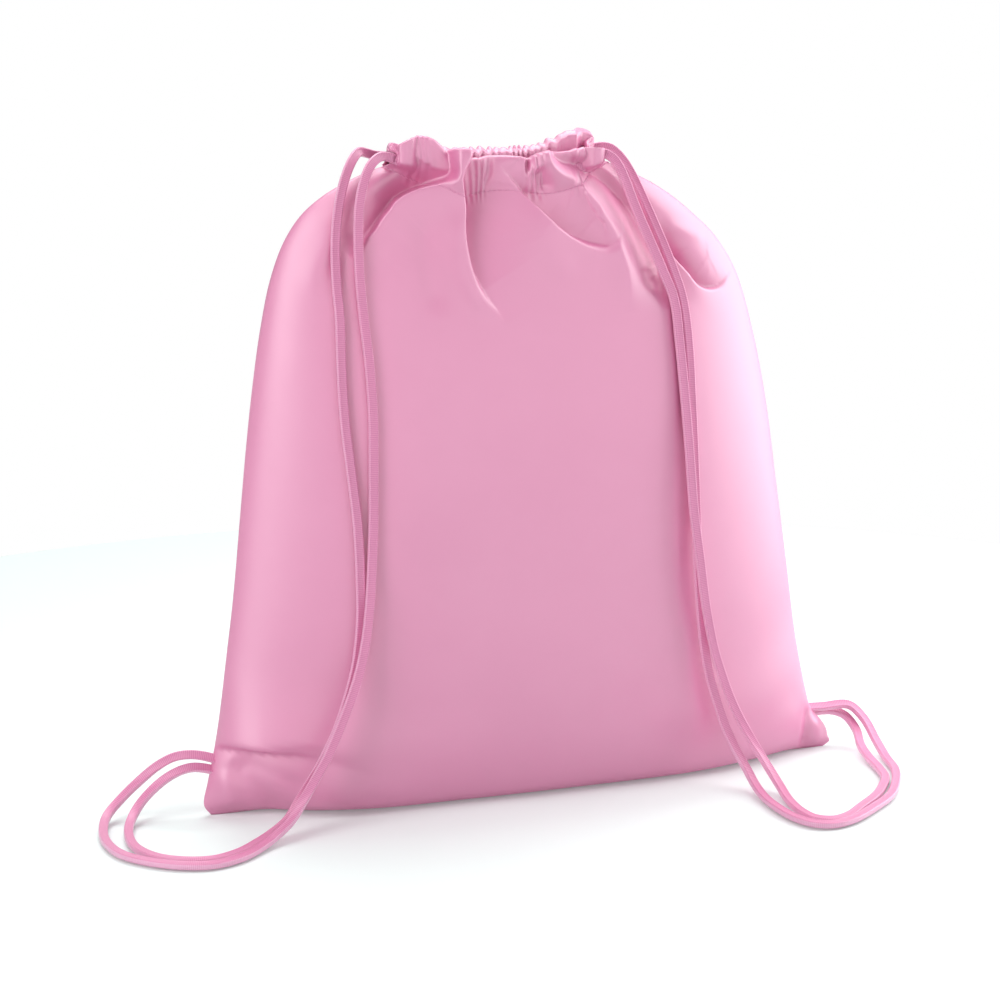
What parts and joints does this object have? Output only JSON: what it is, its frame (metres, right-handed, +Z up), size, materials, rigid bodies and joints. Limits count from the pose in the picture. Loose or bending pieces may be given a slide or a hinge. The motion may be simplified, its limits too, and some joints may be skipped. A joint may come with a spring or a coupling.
{
  "type": "drawstring gym sack",
  "caption": "Filled drawstring gym sack of satin cloth, gathered at the mouth by cords that run on as shoulder straps to the bottom corners.",
  "frame": {"origin": "on the floor, midway between the two bottom corners and between the front and back panels", "axes": "+X to the right as seen from the front, -Y the front that the straps lie on, +Z up"},
  "size_m": [0.4919, 0.2027, 0.3903],
  "materials": {
    "cloth": "satin woven polyester",
    "cord": "knitted polyester cord",
    "thread": "sewing thread"
  },
  "bodies": {
    "bag": {"front_panel": "cloth", "back_panel": "cloth", "front_channel": "cloth", "back_channel": "cloth", "left_side_seam": "cloth", "right_side_seam": "cloth", "bottom_seam": "cloth", "left_cord_channel_run": "cord", "right_cord_channel_run": "cord", "front_channel_stitching": "thread", "back_channel_stitching": "thread", "left_seam_stitching": "thread", "right_seam_stitching": "thread", "bottom_seam_stitching": "thread", "left_cord_anchor": "thread", "right_cord_anchor": "thread", "left_vent_tack": "thread", "right_vent_tack": "thread"},
    "left_strap": {"left_cord_front_strap": "cord", "left_cord_back_strap": "cord"},
    "right_strap": {"right_cord_front_strap": "cord", "right_cord_back_strap": "cord"}
  },
  "joints": [
    {"name": "left_strap_swing", "type": "hinge", "parent": "bag", "child": "left_strap", "pos_m": [-0.124, -0.0291, 0.291], "axis": [-0.2749, 0.1203, -0.9539], "range_deg": [0, 75]},
    {"name": "right_strap_swing", "type": "hinge", "parent": "bag", "child": "right_strap", "pos_m": [0.0836, -0.0317, 0.291], "axis": [-0.3914, -0.1194, 0.9124], "range_deg": [0, 75]}
  ]
}
